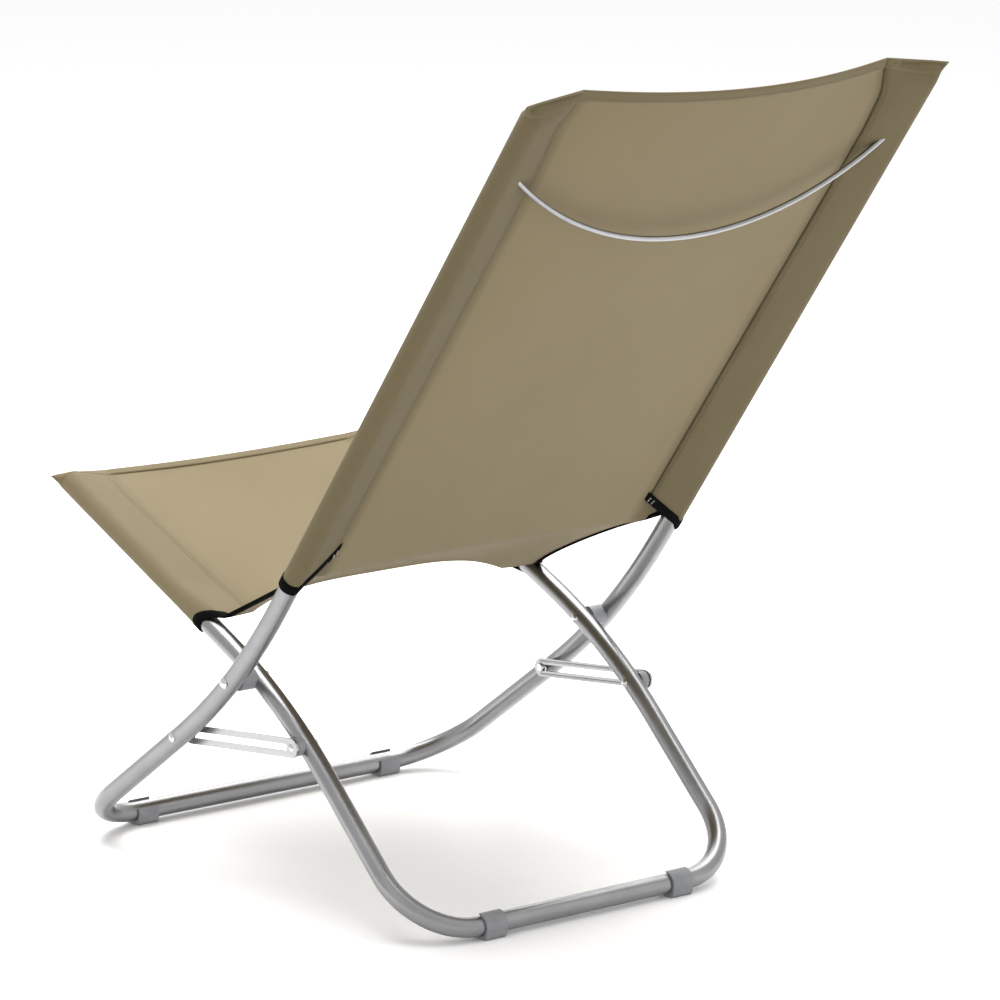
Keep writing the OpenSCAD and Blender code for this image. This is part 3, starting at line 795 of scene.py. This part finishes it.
def hem_paths(row_at, d):
    """Lines of stitches across a hem, on both its faces."""
    row = whole_row(row_at(d))
    beyond = whole_row(row_at(d + 0.002))
    n = unit(np.cross(np.gradient(row, axis=0), beyond - row))
    lift = HEM_LIFT + CLOTH_T / 2
    panel = slice(LAST_COL - PANEL_COLS, len(row) - (LAST_COL - PANEL_COLS))
    return [((row + n * lift)[panel], n[panel]), ((row - n * lift)[panel], -n[panel])]


back_paths, seat_paths = [], []
for inset in SEAM_ROWS:
    back_paths += seam_paths(back_row, BACK_HEAD, BACK_SEAM_POINTS, inset)
    seat_paths += seam_paths(seat_row, SEAT_HEAD, SEAT_SEAM_POINTS, inset)
back_paths += hem_paths(back_row, HEM_ROW - BACK_OVER)
seat_paths += hem_paths(seat_row, HEM_ROW - SEAT_OVER)
back_stitches = stitches("stitches_back", back_paths, "back_frame", THREAD)
seat_stitches = stitches("stitches_seat", seat_paths, "seat_frame", THREAD)


# ---------------------------------------------------------------- bar-tacked tabs
TAB_T = 0.0006
TAB_LIFT = 0.0013
TAB_ROWS = 5                           # up the seam, a step apart
TAB_ROW_STEP = 0.0027
TAB_COLS = 7                           # across it, from past its edge
TAB_COL_STEP = 0.0024
TAB_PAST = 0.005
TACK_LIFT = 0.0017
TACK_POINTS = 4


def bar_tack(side, end):
    """Small black tab where the flap's slanted end meets the back sleeve's seam, with its tacks."""
    corner = first_back[LAST_COL]
    across = unit(first_back[LAST_COL - 1] - corner)
    up = on_heading(BACK_HEAD)
    n = unit(np.cross(across, up))
    if n @ np.array([0, *sitter_side(BACK_HEAD)]) > 0:
        n = -n
    flip = np.array([side, 1, 1])
    lines = [[corner + across * (TAB_COL_STEP * j - TAB_PAST) + up * (TAB_ROW_STEP * i - 0.0005)
              + n * TAB_LIFT for j in range(TAB_COLS)] for i in range(TAB_ROWS)]
    tab = strip("bar_tack_" + end, np.array(lines) * flip, TAPE)
    thicken(tab, TAB_T)
    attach(tab, "back_frame")
    paths = []
    for shift in (-0.001, 0.0042):
        line = [corner + across * (shift + 0.0008 * k) + up * (0.0005 + 0.0032 * k) + n * TACK_LIFT
                for k in range(TACK_POINTS)]
        paths.append((np.array(line) * flip, np.tile(n * flip, (TACK_POINTS, 1))))
    tack = stitches("tack_stitches_" + end, paths, "back_frame", PALE_THREAD,
                    length=0.0024, gap=0.0006, radius=0.00055)
    return tab, tack


tab_left, tack_left = bar_tack(1, "left")
tab_right, tack_right = bar_tack(-1, "right")


# ---------------------------------------------------------------- floor and light
FLOOR_HALF = 30.0
floor_corners = [(-FLOOR_HALF, -FLOOR_HALF, 0), (FLOOR_HALF, -FLOOR_HALF, 0),
                 (FLOOR_HALF, FLOOR_HALF, 0), (-FLOOR_HALF, FLOOR_HALF, 0)]
mesh_object("studio_floor", floor_corners, [[0, 1, 2, 3]],
                     plain_material("studio_white", (0.985, 0.985, 0.985), 0.8))


def area_light(name, at, look_at, size, power):
    data = bpy.data.lights.new(name, "AREA")
    data.shape = "RECTANGLE"
    data.size, data.size_y = size
    data.energy = power
    ob = bpy.data.objects.new(name, data)
    bpy.context.scene.collection.objects.link(ob)
    ob.location = at
    ob.rotation_euler = (Vector(look_at) - Vector(at)).to_track_quat("-Z", "Y").to_euler()


area_light("overhead", (-0.3, -0.4, 3.0), (0, 0, 0.3), (3.2, 3.2), 132)
area_light("front_key", (-1.9, -2.4, 2.2), (0, 0, 0.4), (1.8, 1.8), 36)
area_light("rear_fill", (2.9, 2.2, 1.9), (0, 0, 0.4), (2.2, 2.2), 3)
area_light("left_strip", (-2.4, 2.6, 1.4), (0, 0, 0.3), (0.9, 2.4), 4)

world = bpy.data.worlds.new("studio")
world.use_nodes = True
world.node_tree.nodes["Background"].inputs["Color"].default_value = (1.0, 1.0, 1.0, 1)
world.node_tree.nodes["Background"].inputs["Strength"].default_value = 0.95
bpy.context.scene.world = world
bpy.context.scene.view_settings.view_transform = "Standard"


# ---------------------------------------------------------------- camera
AZIMUTH = math.radians(141.67)         # from the chair's front, round its left side
ELEVATION = math.radians(12.49)
ROLL = math.radians(0.33)
TARGET = Vector((0.0, 0.0526, 0.3744))
DISTANCE = 4.892
SENSOR_MM = 36.0
LENS_MM = 187.6932

backward = Vector((math.sin(AZIMUTH) * math.cos(ELEVATION), -math.cos(AZIMUTH) * math.cos(ELEVATION),
                   math.sin(ELEVATION)))
level = Vector((0, 0, 1)).cross(backward).normalized()
upright = backward.cross(level)
right = math.cos(ROLL) * level + math.sin(ROLL) * upright
up = math.cos(ROLL) * upright - math.sin(ROLL) * level
cam_data = bpy.data.cameras.new("camera")
cam_data.sensor_width = SENSOR_MM
cam_data.lens = LENS_MM
cam_data.clip_end = 100
camera = bpy.data.objects.new("camera", cam_data)
bpy.context.scene.collection.objects.link(camera)
pose = Matrix((right, up, backward)).transposed().to_4x4()
pose.translation = TARGET + backward * DISTANCE
camera.matrix_world = pose
bpy.context.scene.camera = camera
